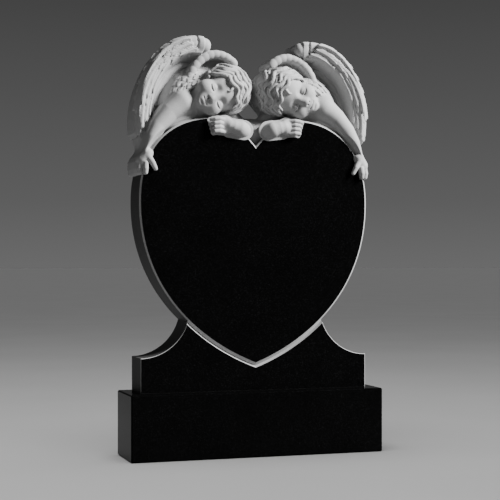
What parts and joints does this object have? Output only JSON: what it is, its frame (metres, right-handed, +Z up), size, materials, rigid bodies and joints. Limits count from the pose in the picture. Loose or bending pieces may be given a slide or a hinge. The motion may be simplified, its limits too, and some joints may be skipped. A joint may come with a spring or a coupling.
{
  "type": "heart headstone",
  "caption": "Upright polished granite headstone: a heart with a grooved edge on hollow shoulders and a block plinth, carved sleeping cherubs with swept wings leaning over its lobes.",
  "frame": {"origin": "middle of the pedestal's underside, which rests on the ground", "axes": "+Z up, the polished face looks along -Y, +X to the right as seen from the front"},
  "size_m": [0.665, 0.16, 1.0685],
  "materials": {
    "pedestal": "mirror-polished black granite",
    "stele": "black granite, mirror-polished heart and shoulders",
    "carving": "the same granite honed and carved, matte light grey"
  },
  "bodies": {
    "root": {"pedestal": "pedestal", "stele": "stele"}
  },
  "joints": []
}
